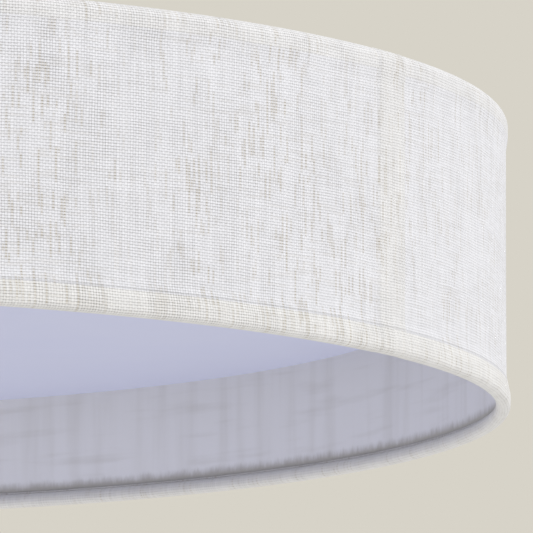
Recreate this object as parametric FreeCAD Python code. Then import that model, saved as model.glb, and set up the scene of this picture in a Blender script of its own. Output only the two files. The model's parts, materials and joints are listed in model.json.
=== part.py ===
import FreeCAD, Part
import math
import os

# A flush mount ceiling light: a pressed pan on a crossbar, LED bars, an opal diffuser on spring clips and a
# linen drum shade on three studs. Millimetres. The ceiling is the plane z = 0 and the lamp hangs below it.

# How far the flats of a rounded corner may lie off its arc
CHORD_HEIGHT = 1.0

# Drum shade
SHADE_RADIUS = 250.0
SHADE_HEIGHT = 80.5
CEILING_GAP = 2.0
FABRIC_THICKNESS = 0.5
LINER_THICKNESS = 0.3
GLUE_LINE = 0.03
RING_WIDTH = 3.0
RING_HEIGHT = 3.0
RING_CLEARANCE = 0.1
HOOP_JOINT_AZIMUTH = 75.0
HEM_TURN_UP = 4.0
LINER_END_GAP = 0.3
SEAM_LAP = 13.7
SEAM_STEP = 0.35
SEAM_AZIMUTH = -33.2

# Arms that carry the shade
ARM_COUNT = 3
ARM_AZIMUTH = 90.0
ARM_WIDTH = 12.0
ARM_THICKNESS = 1.5
ARM_BEND = 6.0
ARM_SHELF = 9.0
ARM_END = 9.0
ARM_HOLE_RADIUS = 2.4
ARM_NOTCH_CLEARANCE = 0.5
WELD_GAP = 0.1

# Base pan
PAN_SETBACK = 25.5
PAN_DEPTH = 26.0
PAN_SHEET = 0.8
PAN_BEND = 3.0

# Studs that the shade hangs on, and their thumb nuts
STUD_INSET = 16.0
STUD_RADIUS = 2.0
STUD_LENGTH = 12.5
STUD_HEAD_FLATS = 7.0
STUD_HEAD_HEIGHT = 1.0
FASTENER_SIDE_COUNT = 10
PRESS_CLEARANCE = 0.02
THREAD_CLEARANCE = 0.05
WASHER_RADIUS = 7.0
WASHER_THICKNESS = 0.8
WASHER_CLEARANCE = 0.15
NUT_RADIUS = 6.5
NUT_HEIGHT = 7.0

# Opal diffuser
DIFFUSER_SETBACK = 18.5
DIFFUSER_RECESS = 29.0
DIFFUSER_WALL = 2.5
DIFFUSER_BEND = 5.5

# Spring clips that hold the diffuser
CLIP_COUNT = 3
CLIP_AZIMUTH = 30.0
CLIP_SHEET = 0.6
CLIP_WIDTH = 20.0
CLIP_LEG_WIDTH = 9.0
CLIP_SLIT = 1.0
CLIP_REACH = 51.0
CLIP_CLEARANCE = 0.1
CLIP_NECK = 2.6
CLIP_LEG_DROP = 8.0
CLIP_PAD_HEIGHT = 2.4
CLIP_LEAD_IN = 5.0
CLIP_STOP_GAP = 0.3
CLIP_STOP_OVERHANG = 2.0
RIVET_FLATS = 3.2
RIVET_HEAD_FLATS = 6.0
RIVET_HEAD_HEIGHT = 1.0
RIVET_SPACING = 11.0
RIVET_INSET = 6.0

# Crossbar and the studs that the pan hangs on
CROSSBAR_LENGTH = 124.0
CROSSBAR_WIDTH = 22.0
CROSSBAR_SHEET = 1.5
BOX_SPACING_MIN = 69.9
BOX_SPACING_MAX = 88.9
BOX_SLOT_WIDTH = 4.8
MOUNT_SPACING = 106.0
MOUNT_RADIUS = 2.0
MOUNT_HOLE_CLEARANCE = 0.4
MOUNT_END_GAP = 0.2
LOCK_NUT_FLATS = 7.0
LOCK_NUT_HEIGHT = 3.2
CAP_NUT_FLATS = 10.0
CAP_NUT_HEIGHT = 7.0
CAP_WASHER_RADIUS = 7.0
CAP_WASHER_THICKNESS = 0.8
MOUNT_THREAD_IN_CAP = 4.5
EARTH_OFFSET = 16.0
EARTH_SCREW_RADIUS = 2.0
EARTH_HEAD_FLATS = 8.0
EARTH_HEAD_HEIGHT = 2.4

# LED bars, held by a hook of the pan at the inner end and a screw at the outer end
BAR_COUNT = 6
BAR_AZIMUTH = 90.0
BAR_INNER = 78.0
BAR_END_INSET = 34.0
BAR_WIDTH = 16.0
BAR_THICKNESS = 1.2
BAR_SCREW_INSET = 6.0
HOOK_WIDTH = 8.0
HOOK_REACH = 4.0
HOOK_CLEARANCE = 0.2
CHIP_SIZE = 3.0
CHIP_HEIGHT = 0.7
CHIP_ROWS = 2
CHIP_ROW_SPACING = 8.0
CHIPS_PER_ROW = 3
CHIP_END_MARGIN = 8.0
SCREW_FLATS = 3.0
SCREW_CLEARANCE = 0.2
SCREW_HEAD_FLATS = 5.5
SCREW_HEAD_HEIGHT = 2.0
CONNECTOR_INSET = 5.0
CONNECTOR_LENGTH = 8.0
CONNECTOR_WIDTH = 9.0
CONNECTOR_HEIGHT = 5.0
LINK_WIDTH = 4.0
LINK_THICKNESS = 1.5
LINK_BEND = 24.0

# Driver and mains connection, in the space above the pan
DRIVER_LENGTH = 120.0
DRIVER_WIDTH = 42.0
DRIVER_HEIGHT = 20.0
DRIVER_Y = 97.0
DRIVER_WALL = 1.5
DRIVER_EAR = 9.0
DRIVER_EAR_THICKNESS = 2.0
CIRCUIT_CLEARANCE = 1.0
CIRCUIT_SHEET = 1.6
CIRCUIT_HEIGHT = 3.0
CORE_LENGTH = 24.0
CORE_WIDTH = 18.0
CAN_COUNT = 2
CAN_RADIUS = 4.5
CAN_INSET = 15.0
CAN_PITCH = 14.0
COVER_LIP_CLEARANCE = 0.2
COVER_LIP_DEPTH = 3.0
TERMINAL_LENGTH = 32.0
TERMINAL_WIDTH = 18.0
TERMINAL_HEIGHT = 16.0
TERMINAL_Y = -82.0
TERMINAL_POLES = 3
TERMINAL_PITCH = 10.0
TERMINAL_WELL = 6.0
TERMINAL_WELL_DEPTH = 6.0
TERMINAL_ENTRY = 4.0
TERMINAL_ENTRY_DEPTH = 5.0
TERMINAL_SCREW_HEIGHT = 3.0
MAINS_LEAD_WIDTH = 6.0
MAINS_LEAD_THICKNESS = 3.0
MAINS_LEAD_X = 100.0
MAINS_LEAD_BEND = 24.0
OUTPUT_LEAD_WIDTH = 5.0
OUTPUT_LEAD_THICKNESS = 2.5
OUTPUT_LEAD_BEND = 3.0
LEAD_CLEARANCE = 0.3
GROMMET_Y = 45.0
GROMMET_HOLE_RADIUS = 5.5
GROMMET_FLANGE_RADIUS = 7.5
GROMMET_FLANGE = 1.6

# Heights and radii that follow from the sizes above
DIFFUSER_RADIUS = SHADE_RADIUS - DIFFUSER_SETBACK
DIFFUSER_INNER_RADIUS = DIFFUSER_RADIUS - DIFFUSER_WALL
CLIP_INNER_END = DIFFUSER_INNER_RADIUS - CLIP_REACH
PAN_RADIUS = DIFFUSER_RADIUS - PAN_SETBACK
STUD_CIRCLE = PAN_RADIUS - STUD_INSET
BAR_OUTER = PAN_RADIUS - BAR_END_INSET
TOP_RIM_Z = -CEILING_GAP
BOTTOM_RIM_Z = TOP_RIM_Z - SHADE_HEIGHT
WALL_INNER = SHADE_RADIUS - FABRIC_THICKNESS
ROLL = RING_CLEARANCE + FABRIC_THICKNESS
RING_RADIUS = SHADE_RADIUS - ROLL - RING_WIDTH / 2
BOTTOM_RING_Z = BOTTOM_RIM_Z + ROLL + RING_HEIGHT / 2
TOP_RING_Z = TOP_RIM_Z - ROLL - RING_HEIGHT / 2
PAN_FACE_Z = -PAN_DEPTH
PAN_INSIDE_Z = PAN_FACE_Z + PAN_SHEET
DIFFUSER_FACE_Z = BOTTOM_RIM_Z + DIFFUSER_RECESS
CLIP_UNDERSIDE_Z = PAN_FACE_Z - CLIP_SHEET
DIFFUSER_TOP_Z = CLIP_UNDERSIDE_Z - CLIP_STOP_GAP
BAR_FACE_Z = PAN_FACE_Z - BAR_THICKNESS
UP = FreeCAD.Vector(0, 0, 1)
ORIGIN = FreeCAD.Vector(0, 0, 0)


def outline(corners):
    """A closed wire in the XZ plane through corners (x, z, radius). A radius is drawn with flats."""
    here = [FreeCAD.Vector(x, 0, z) for x, z, _ in corners]
    points = []
    for i, (_, _, radius) in enumerate(corners):
        if radius <= 0:
            points.append(here[i])
            continue
        back = (here[i - 1] - here[i]).normalize()
        on = (here[(i + 1) % len(corners)] - here[i]).normalize()
        half = math.acos(back.dot(on)) / 2
        centre = here[i] + (back + on).normalize() * (radius / math.sin(half))
        first = here[i] + back * (radius / math.tan(half)) - centre
        last = here[i] + on * (radius / math.tan(half)) - centre
        turn = math.pi - 2 * half
        widest = 2 * math.acos(max(1 - CHORD_HEIGHT / radius, 0))
        count = math.ceil(turn / widest)
        for k in range(count + 1):
            done = turn * k / count
            arm = first * math.sin(turn - done) + last * math.sin(done)
            points.append(centre + arm * (1 / math.sin(turn)))
    return Part.makePolygon(points + points[:1])


def strip(path, thickness, bend):
    """The corners of a bent strip of sheet, whose middle line runs through path and bends to one radius."""
    points = [FreeCAD.Vector(x, 0, z) for x, z in path]
    last = len(points) - 1
    sides = []
    for side in (1, -1):
        row = []
        for i, here in enumerate(points):
            run_in = (here - points[i - 1]).normalize() if i > 0 else None
            run_out = (points[i + 1] - here).normalize() if i < last else run_in
            run_in = run_in or run_out
            normal_in = FreeCAD.Vector(-run_in.z, 0, run_in.x)
            normal_out = FreeCAD.Vector(-run_out.z, 0, run_out.x)
            middle = (normal_in + normal_out).normalize()
            offset = middle * (side * thickness / 2 / middle.dot(normal_in))
            turn = run_in.x * run_out.z - run_in.z * run_out.x
            radius = 0.0
            if bend > 0 and abs(turn) > 1e-9:
                radius = bend - math.copysign(thickness / 2, turn) * side
            row.append((here.x + offset.x, here.z + offset.z, radius))
        sides.append(row)
    return sides[0] + sides[1][::-1]


def turned(corners):
    """A solid of revolution about the lamp's axis."""
    return Part.Face(outline(corners)).revolve(ORIGIN, UP, 360)


def pressed(corners, width):
    """A section in the XZ plane drawn out to a width along Y, half each way."""
    face = Part.Face(outline(corners))
    face.translate(FreeCAD.Vector(0, -width / 2, 0))
    return face.extrude(FreeCAD.Vector(0, width, 0))


def rod(radius, z_low, z_high, x=0.0, y=0.0):
    """An upright round bar or hole."""
    return Part.makeCylinder(radius, z_high - z_low, FreeCAD.Vector(x, y, z_low), UP)


def block(x_low, x_high, y_low, y_high, z_low, z_high):
    """A box between two corners."""
    corner = FreeCAD.Vector(x_low, y_low, z_low)
    return Part.makeBox(x_high - x_low, y_high - y_low, z_high - z_low, corner)


def prism(sides, flats, z_low, z_high, x=0.0, y=0.0):
    """An upright bar with flat sides, used for the shanks, heads and holes of small fasteners."""
    corner = flats / 2 / math.cos(math.pi / sides)
    turns = [2 * math.pi * k / sides for k in range(sides + 1)]
    points = [FreeCAD.Vector(x + corner * math.cos(a), y + corner * math.sin(a), z_low) for a in turns]
    return Part.Face(Part.makePolygon(points)).extrude(FreeCAD.Vector(0, 0, z_high - z_low))


def hexagon(flats, z_low, z_high, x=0.0, y=0.0):
    return prism(6, flats, z_low, z_high, x, y)


def shank(radius, z_low, z_high, x=0.0, y=0.0):
    """A round shank or hole of a small fastener."""
    return prism(FASTENER_SIDE_COUNT, 2 * radius, z_low, z_high, x, y)


def at_azimuth(shape, degrees):
    """A copy turned about the lamp's axis."""
    copy = shape.copy()
    copy.rotate(ORIGIN, UP, degrees)
    return copy


def azimuths(first, count):
    return [first + 360.0 * k / count for k in range(count)]


def moved(shape, x, y, z=0.0):
    copy = shape.copy()
    copy.translate(FreeCAD.Vector(x, y, z))
    return copy


def flat_lead(path, width, thickness, bend, z):
    """A flat lead that lies level at z and bends in the XY plane, along path of (x, y)."""
    lying = pressed(strip([(x, -y) for x, y in path], width, bend), thickness)
    lying.rotate(ORIGIN, FreeCAD.Vector(1, 0, 0), 90)
    return moved(lying, 0, 0, z)


# The shade

def flat_ring(z):
    """A hoop of square bar inside a rim, with its ends joined away from the fabric's seam."""
    half = RING_HEIGHT / 2
    section = wall_section(RING_RADIUS - RING_WIDTH / 2, RING_RADIUS + RING_WIDTH / 2, z - half, z + half)
    return at_azimuth(turned(section), HOOP_JOINT_AZIMUTH)


def wall_section(inner, outer, low, high):
    return [(inner, low, 0), (outer, low, 0), (outer, high, 0), (inner, high, 0)]


def shade_fabric():
    """Linen wall turned in round a hoop at both rims, with a lapped seam and notches for the arms."""
    hem_inner = SHADE_RADIUS - RING_WIDTH - 2 * ROLL
    turn_inner = hem_inner + FABRIC_THICKNESS
    wall = turned([
        (SHADE_RADIUS, BOTTOM_RIM_Z, 0),
        (SHADE_RADIUS, TOP_RIM_Z, 0),
        (hem_inner, TOP_RIM_Z, 0),
        (hem_inner, TOP_RIM_Z - HEM_TURN_UP, 0),
        (turn_inner, TOP_RIM_Z - HEM_TURN_UP, 0),
        (turn_inner, TOP_RIM_Z - FABRIC_THICKNESS, 0),
        (WALL_INNER, TOP_RIM_Z - FABRIC_THICKNESS, 0),
        (WALL_INNER, BOTTOM_RIM_Z + FABRIC_THICKNESS, 0),
        (turn_inner, BOTTOM_RIM_Z + FABRIC_THICKNESS, 0),
        (turn_inner, BOTTOM_RIM_Z + HEM_TURN_UP, 0),
        (hem_inner, BOTTOM_RIM_Z + HEM_TURN_UP, 0),
        (hem_inner, BOTTOM_RIM_Z, 0),
    ])
    seam_angle = math.degrees(SEAM_LAP / SHADE_RADIUS)
    lap_inner = SHADE_RADIUS - FABRIC_THICKNESS / 2
    lap_section = wall_section(lap_inner, SHADE_RADIUS + SEAM_STEP, BOTTOM_RIM_Z, TOP_RIM_Z)
    lap = Part.Face(outline(lap_section)).revolve(ORIGIN, UP, seam_angle)
    fabric = wall.fuse(at_azimuth(lap, SEAM_AZIMUTH - seam_angle / 2))
    half_width = ARM_WIDTH / 2 + ARM_NOTCH_CLEARANCE
    notch_low = TOP_RIM_Z - HEM_TURN_UP - ARM_NOTCH_CLEARANCE
    notch_high = TOP_RING_Z + ARM_THICKNESS / 2 + ARM_NOTCH_CLEARANCE
    notch = block(hem_inner - ARM_NOTCH_CLEARANCE, RING_RADIUS, -half_width, half_width, notch_low, notch_high)
    notches = [at_azimuth(notch, a) for a in azimuths(ARM_AZIMUTH, ARM_COUNT)]
    return fabric.cut(notches)


def shade_liner():
    """Smooth lining glued inside the fabric, between the two hoops."""
    outer = WALL_INNER - GLUE_LINE
    low = BOTTOM_RING_Z + RING_HEIGHT / 2 + LINER_END_GAP
    high = TOP_RING_Z - RING_HEIGHT / 2 - LINER_END_GAP
    return turned(wall_section(outer - LINER_THICKNESS, outer, low, high))


def shade_arm():
    """A strap welded to the top ring, bent down past the pan's edge to a shelf that fits over a stud."""
    shelf_z = PAN_FACE_Z - ARM_THICKNESS / 2
    weld = RING_RADIUS - RING_WIDTH / 2 - WELD_GAP
    knee = RING_RADIUS - ARM_SHELF
    foot = PAN_RADIUS + ARM_THICKNESS * 2
    path = [(STUD_CIRCLE - ARM_END, shelf_z), (foot, shelf_z), (knee, TOP_RING_Z), (weld, TOP_RING_Z)]
    strap = pressed(strip(path, ARM_THICKNESS, ARM_BEND), ARM_WIDTH)
    return strap.cut(shank(ARM_HOLE_RADIUS, BOTTOM_RIM_Z, 0, STUD_CIRCLE))


# The pan

def clip_rivet_places():
    """Where the rivets of one clip stand, for a clip along +X."""
    x = CLIP_INNER_END + RIVET_INSET
    return [(x, RIVET_SPACING / 2), (x, -RIVET_SPACING / 2)]


def mount_places():
    return [(MOUNT_SPACING / 2, 0), (-MOUNT_SPACING / 2, 0)]


def bar_screw_x():
    """Where the screw of one LED bar stands, for a bar along +X."""
    return BAR_OUTER - BAR_SCREW_INSET


def driver_screw_places():
    x = DRIVER_LENGTH / 2 + DRIVER_EAR / 2
    return [(x, DRIVER_Y + DRIVER_WIDTH / 4), (-x, DRIVER_Y + DRIVER_WIDTH / 4)]


def bar_hook():
    """A tab of the pan that holds the inner end of the LED bar along +X."""
    inner = BAR_INNER - HOOK_CLEARANCE - PAN_SHEET
    seat = BAR_FACE_Z - HOOK_CLEARANCE
    half = HOOK_WIDTH / 2
    riser = block(inner, inner + PAN_SHEET, -half, half, seat - PAN_SHEET, PAN_FACE_Z)
    lip = block(inner, BAR_INNER + HOOK_REACH, -half, half, seat - PAN_SHEET, seat)
    return riser.fuse(lip)


def base_pan():
    """Pressed pan, open to the ceiling: a wall, and a flat face with hooks for the bars."""
    middle = PAN_SHEET / 2
    path = [(PAN_RADIUS - middle, 0), (PAN_RADIUS - middle, PAN_FACE_Z + middle), (0, PAN_FACE_Z + middle)]
    sheet = turned(strip(path, PAN_SHEET, PAN_BEND))
    hooks = [at_azimuth(bar_hook(), a) for a in azimuths(BAR_AZIMUTH, BAR_COUNT)]
    low = PAN_FACE_Z - PAN_SHEET
    high = PAN_INSIDE_Z + PAN_SHEET
    holes = []
    for a in azimuths(ARM_AZIMUTH, ARM_COUNT):
        holes.append(at_azimuth(shank(STUD_RADIUS + PRESS_CLEARANCE, low, high, STUD_CIRCLE), a))
    for a in azimuths(CLIP_AZIMUTH, CLIP_COUNT):
        for x, y in clip_rivet_places():
            holes.append(at_azimuth(hexagon(RIVET_FLATS + PRESS_CLEARANCE, low, high, x, y), a))
    for a in azimuths(BAR_AZIMUTH, BAR_COUNT):
        holes.append(at_azimuth(hexagon(SCREW_FLATS + PRESS_CLEARANCE, low, high, bar_screw_x()), a))
    for x, y in driver_screw_places():
        holes.append(hexagon(SCREW_FLATS + PRESS_CLEARANCE, low, high, x, y))
    for x, y in mount_places():
        holes.append(shank(MOUNT_RADIUS + MOUNT_HOLE_CLEARANCE, low, high, x, y))
    holes.append(shank(GROMMET_HOLE_RADIUS, low, high, 0, GROMMET_Y))
    return sheet.fuse(hooks).cut(holes)


def shade_studs():
    """Studs pressed into the pan from inside, each with a flat head on the sheet."""
    stud = shank(STUD_RADIUS, PAN_FACE_Z - STUD_LENGTH, PAN_INSIDE_Z, STUD_CIRCLE)
    head = hexagon(STUD_HEAD_FLATS, PAN_INSIDE_Z, PAN_INSIDE_Z + STUD_HEAD_HEIGHT, STUD_CIRCLE)
    whole = stud.fuse(head)
    return [at_azimuth(whole, a) for a in azimuths(ARM_AZIMUTH, ARM_COUNT)]


def nut_washer():
    """The washer under a thumb nut, on the stud along +X."""
    top = PAN_FACE_Z - ARM_THICKNESS
    low = top - WASHER_THICKNESS
    bore = shank(STUD_RADIUS + WASHER_CLEARANCE, low, top, STUD_CIRCLE)
    return shank(WASHER_RADIUS, low, top, STUD_CIRCLE).cut(bore)


def thumb_nut():
    """A faceted thumb nut with a round bore, on the stud along +X."""
    top = PAN_FACE_Z - ARM_THICKNESS - WASHER_THICKNESS
    low = top - NUT_HEIGHT
    stud_corner = STUD_RADIUS / math.cos(math.pi / FASTENER_SIDE_COUNT)
    bore = rod(stud_corner + THREAD_CLEARANCE, low, top, STUD_CIRCLE)
    return shank(NUT_RADIUS, low, top, STUD_CIRCLE).cut(bore)


# The diffuser and its clips

def diffuser():
    """A shallow opal cup with a rounded edge."""
    middle = DIFFUSER_WALL / 2
    path = [
        (DIFFUSER_RADIUS - middle, DIFFUSER_TOP_Z),
        (DIFFUSER_RADIUS - middle, DIFFUSER_FACE_Z + middle),
        (0, DIFFUSER_FACE_Z + middle),
    ]
    return turned(strip(path, DIFFUSER_WALL, DIFFUSER_BEND - middle))


def diffuser_clip():
    """A spring clip along +X: a riveted tongue, two stops over the diffuser's edge and a sprung leg."""
    middle_z = PAN_FACE_Z - CLIP_SHEET / 2
    pad_x = DIFFUSER_INNER_RADIUS - CLIP_CLEARANCE - CLIP_SHEET / 2
    neck_x = pad_x - CLIP_NECK
    root_x = neck_x - 2 * CLIP_SHEET
    pad_high = PAN_FACE_Z - CLIP_LEG_DROP
    pad_low = pad_high - CLIP_PAD_HEIGHT
    leg_path = [
        (root_x - CLIP_SHEET, middle_z),
        (neck_x, middle_z),
        (neck_x, (PAN_FACE_Z + pad_high) / 2),
        (pad_x, pad_high),
        (pad_x, pad_low),
        (neck_x, pad_low - CLIP_LEAD_IN),
    ]
    leg = pressed(strip(leg_path, CLIP_SHEET, 0), CLIP_LEG_WIDTH)
    half = CLIP_WIDTH / 2
    tongue = block(CLIP_INNER_END, root_x, -half, half, CLIP_UNDERSIDE_Z, PAN_FACE_Z)
    stop_end = DIFFUSER_INNER_RADIUS + CLIP_STOP_OVERHANG
    inner_side = CLIP_LEG_WIDTH / 2 + CLIP_SLIT
    stops = [
        block(root_x, stop_end, inner_side, half, CLIP_UNDERSIDE_Z, PAN_FACE_Z),
        block(root_x, stop_end, -half, -inner_side, CLIP_UNDERSIDE_Z, PAN_FACE_Z),
    ]
    clip = tongue.fuse([leg] + stops).removeSplitter()
    hole_flats = RIVET_FLATS + PRESS_CLEARANCE
    holes = [hexagon(hole_flats, BOTTOM_RIM_Z, 0, x, y) for x, y in clip_rivet_places()]
    return clip.cut(holes)


def clip_rivet(x, y):
    """A rivet through a clip and the pan, flush with the inside of the pan."""
    body = hexagon(RIVET_FLATS, CLIP_UNDERSIDE_Z, PAN_INSIDE_Z, x, y)
    return body.fuse(hexagon(RIVET_HEAD_FLATS, CLIP_UNDERSIDE_Z - RIVET_HEAD_HEIGHT, CLIP_UNDERSIDE_Z, x, y))


# The crossbar and what hangs on it

def ceiling_bracket():
    """A flat crossbar with a slot each side for the ceiling box, and holes for the studs and the earth screw."""
    half = CROSSBAR_WIDTH / 2
    crossbar = block(-CROSSBAR_LENGTH / 2, CROSSBAR_LENGTH / 2, -half, half, -CROSSBAR_SHEET, 0)
    slot_radius = BOX_SLOT_WIDTH / 2
    cuts = []
    for side in (1, -1):
        ends = sorted((side * BOX_SPACING_MIN / 2, side * BOX_SPACING_MAX / 2))
        slot = block(ends[0], ends[1], -slot_radius, slot_radius, -CROSSBAR_SHEET, 0)
        rounds = [rod(slot_radius, -CROSSBAR_SHEET, 0, x) for x in ends]
        cuts.append(slot.fuse(rounds).removeSplitter())
    for x, y in mount_places():
        cuts.append(shank(MOUNT_RADIUS + THREAD_CLEARANCE, -CROSSBAR_SHEET, 0, x, y))
    cuts.append(shank(EARTH_SCREW_RADIUS + THREAD_CLEARANCE, -CROSSBAR_SHEET, 0, EARTH_OFFSET))
    return crossbar.cut(cuts)


def mounting_studs():
    """Threaded studs that hang from the crossbar through the pan."""
    low = PAN_FACE_Z - CAP_WASHER_THICKNESS - MOUNT_THREAD_IN_CAP
    return [shank(MOUNT_RADIUS, low, -MOUNT_END_GAP, x, y) for x, y in mount_places()]


def stud_lock_nuts():
    """Hex nuts that lock the studs under the crossbar."""
    nuts = []
    for x, y in mount_places():
        nut = hexagon(LOCK_NUT_FLATS, -CROSSBAR_SHEET - LOCK_NUT_HEIGHT, -CROSSBAR_SHEET, x, y)
        nuts.append(nut.cut(shank(MOUNT_RADIUS + THREAD_CLEARANCE, PAN_INSIDE_Z, 0, x, y)))
    return nuts


def cap_nuts():
    """Closed hex nuts, each with its washer in one, that hold the pan up."""
    seat = PAN_FACE_Z - CAP_WASHER_THICKNESS
    washer = shank(CAP_WASHER_RADIUS, seat, PAN_FACE_Z)
    body = hexagon(CAP_NUT_FLATS, seat - CAP_NUT_HEIGHT, seat)
    depth = MOUNT_THREAD_IN_CAP + MOUNT_END_GAP
    bore = shank(MOUNT_RADIUS + THREAD_CLEARANCE, seat - depth, PAN_FACE_Z)
    nut = washer.fuse(body).cut(bore)
    return [moved(nut, x, y) for x, y in mount_places()]


def ground_screw():
    """The earth screw under the crossbar."""
    thread = shank(EARTH_SCREW_RADIUS, -CROSSBAR_SHEET, -MOUNT_END_GAP, EARTH_OFFSET)
    head = hexagon(EARTH_HEAD_FLATS, -CROSSBAR_SHEET - EARTH_HEAD_HEIGHT, -CROSSBAR_SHEET, EARTH_OFFSET)
    return thread.fuse(head)


# LED bars

def chip_places():
    """Where the chips of one bar stand, for a bar along +X."""
    first = BAR_INNER + CONNECTOR_INSET + CONNECTOR_LENGTH + CHIP_END_MARGIN
    last = bar_screw_x() - CHIP_END_MARGIN
    places = []
    for k in range(CHIPS_PER_ROW):
        x = first + (last - first) * k / max(CHIPS_PER_ROW - 1, 1)
        for row in range(CHIP_ROWS):
            places.append((x, CHIP_ROW_SPACING * (row - (CHIP_ROWS - 1) / 2)))
    return places


def led_bar():
    """A narrow board along +X, with a hole for its screw."""
    half = BAR_WIDTH / 2
    bar = block(BAR_INNER, BAR_OUTER, -half, half, BAR_FACE_Z, PAN_FACE_Z)
    return bar.cut(hexagon(SCREW_FLATS + SCREW_CLEARANCE, BAR_FACE_Z, PAN_FACE_Z, bar_screw_x()))


def led_chip(x, y):
    half = CHIP_SIZE / 2
    return block(x - half, x + half, y - half, y + half, BAR_FACE_Z - CHIP_HEIGHT, BAR_FACE_Z)


def bar_screw():
    """A screw through a bar into the pan."""
    x = bar_screw_x()
    thread = hexagon(SCREW_FLATS, BAR_FACE_Z, PAN_INSIDE_Z, x)
    return thread.fuse(hexagon(SCREW_HEAD_FLATS, BAR_FACE_Z - SCREW_HEAD_HEIGHT, BAR_FACE_Z, x))


def bar_connector():
    """A small connector near the inner end of a bar."""
    inner = BAR_INNER + CONNECTOR_INSET
    half = CONNECTOR_WIDTH / 2
    return block(inner, inner + CONNECTOR_LENGTH, -half, half, BAR_FACE_Z - CONNECTOR_HEIGHT, BAR_FACE_Z)


def bar_link():
    """A flat lead from the connector of the bar along +X to the next bar's, with one bend between them."""
    x = BAR_INNER + CONNECTOR_INSET + CONNECTOR_LENGTH / 2
    side = CONNECTOR_WIDTH / 2
    step = 360.0 / BAR_COUNT
    corner = (x, x * math.tan(math.radians(step / 2)))
    turn = math.radians(step)
    end = (x * math.cos(turn) + side * math.sin(turn), x * math.sin(turn) - side * math.cos(turn))
    z = BAR_FACE_Z - CONNECTOR_HEIGHT / 2
    return flat_lead([(x, side), corner, end], LINK_WIDTH, LINK_THICKNESS, LINK_BEND, z)


# The driver and the wiring

def driver_case():
    """An open plastic tub with an ear at each end."""
    half_x = DRIVER_LENGTH / 2
    half_y = DRIVER_WIDTH / 2
    low = PAN_INSIDE_Z
    high = low + DRIVER_HEIGHT - DRIVER_WALL
    tub = block(-half_x, half_x, DRIVER_Y - half_y, DRIVER_Y + half_y, low, high)
    hollow = block(
        -half_x + DRIVER_WALL, half_x - DRIVER_WALL,
        DRIVER_Y - half_y + DRIVER_WALL, DRIVER_Y + half_y - DRIVER_WALL,
        low + DRIVER_WALL, high,
    )
    ears = []
    holes = []
    for x, y in driver_screw_places():
        ends = sorted((math.copysign(half_x - DRIVER_WALL, x), math.copysign(half_x + DRIVER_EAR, x)))
        ear = block(ends[0], ends[1], y - DRIVER_EAR / 2, y + DRIVER_EAR / 2, low, low + DRIVER_EAR_THICKNESS)
        ears.append(ear)
        holes.append(hexagon(SCREW_FLATS + SCREW_CLEARANCE, low, low + DRIVER_EAR_THICKNESS, x, y))
    return tub.fuse(ears).cut([hollow] + holes)


def driver_cover():
    """The flat lid of the tub, with a lip that fits inside it."""
    half_x = DRIVER_LENGTH / 2
    half_y = DRIVER_WIDTH / 2
    high = PAN_INSIDE_Z + DRIVER_HEIGHT
    low = high - DRIVER_WALL
    lid = block(-half_x, half_x, DRIVER_Y - half_y, DRIVER_Y + half_y, low, high)
    lip_x = half_x - DRIVER_WALL - COVER_LIP_CLEARANCE
    lip_y = half_y - DRIVER_WALL - COVER_LIP_CLEARANCE
    lip = block(-lip_x, lip_x, DRIVER_Y - lip_y, DRIVER_Y + lip_y, low - COVER_LIP_DEPTH, low)
    inner = block(
        -lip_x + DRIVER_WALL, lip_x - DRIVER_WALL,
        DRIVER_Y - lip_y + DRIVER_WALL, DRIVER_Y + lip_y - DRIVER_WALL,
        low - COVER_LIP_DEPTH, low,
    )
    return lid.fuse(lip.cut(inner))


def driver_circuit():
    """The driver's board on its feet, with a transformer and two capacitors."""
    half_x = DRIVER_LENGTH / 2 - DRIVER_WALL - CIRCUIT_CLEARANCE
    half_y = DRIVER_WIDTH / 2 - DRIVER_WALL - CIRCUIT_CLEARANCE
    low = PAN_INSIDE_Z + DRIVER_WALL
    top = low + CIRCUIT_HEIGHT + CIRCUIT_SHEET
    plate = block(-half_x, half_x, DRIVER_Y - half_y, DRIVER_Y + half_y, low + CIRCUIT_HEIGHT, top)
    feet = []
    for side in (1, -1):
        ends = sorted((side * half_x, side * (half_x - CIRCUIT_HEIGHT)))
        feet.append(block(ends[0], ends[1], DRIVER_Y - half_y, DRIVER_Y + half_y, low, low + CIRCUIT_HEIGHT))
    ceiling = PAN_INSIDE_Z + DRIVER_HEIGHT - DRIVER_WALL - COVER_LIP_DEPTH - CIRCUIT_CLEARANCE
    core_y = CORE_WIDTH / 2
    core = block(-CORE_LENGTH / 2, CORE_LENGTH / 2, DRIVER_Y - core_y, DRIVER_Y + core_y, top, ceiling)
    can_places = [half_x - CAN_INSET - CAN_PITCH * k for k in range(CAN_COUNT)]
    cans = [shank(CAN_RADIUS, top, ceiling, x, DRIVER_Y) for x in can_places]
    return plate.fuse(feet + [core] + cans)


def driver_screws():
    """Screws through the driver's ears into the pan."""
    screws = []
    for x, y in driver_screw_places():
        seat = PAN_INSIDE_Z + DRIVER_EAR_THICKNESS
        thread = hexagon(SCREW_FLATS, PAN_FACE_Z, seat, x, y)
        screws.append(thread.fuse(hexagon(SCREW_HEAD_FLATS, seat, seat + SCREW_HEAD_HEIGHT, x, y)))
    return screws


def terminal_places():
    middle = (TERMINAL_POLES - 1) / 2
    return [(TERMINAL_PITCH * (k - middle), TERMINAL_Y) for k in range(TERMINAL_POLES)]


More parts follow.
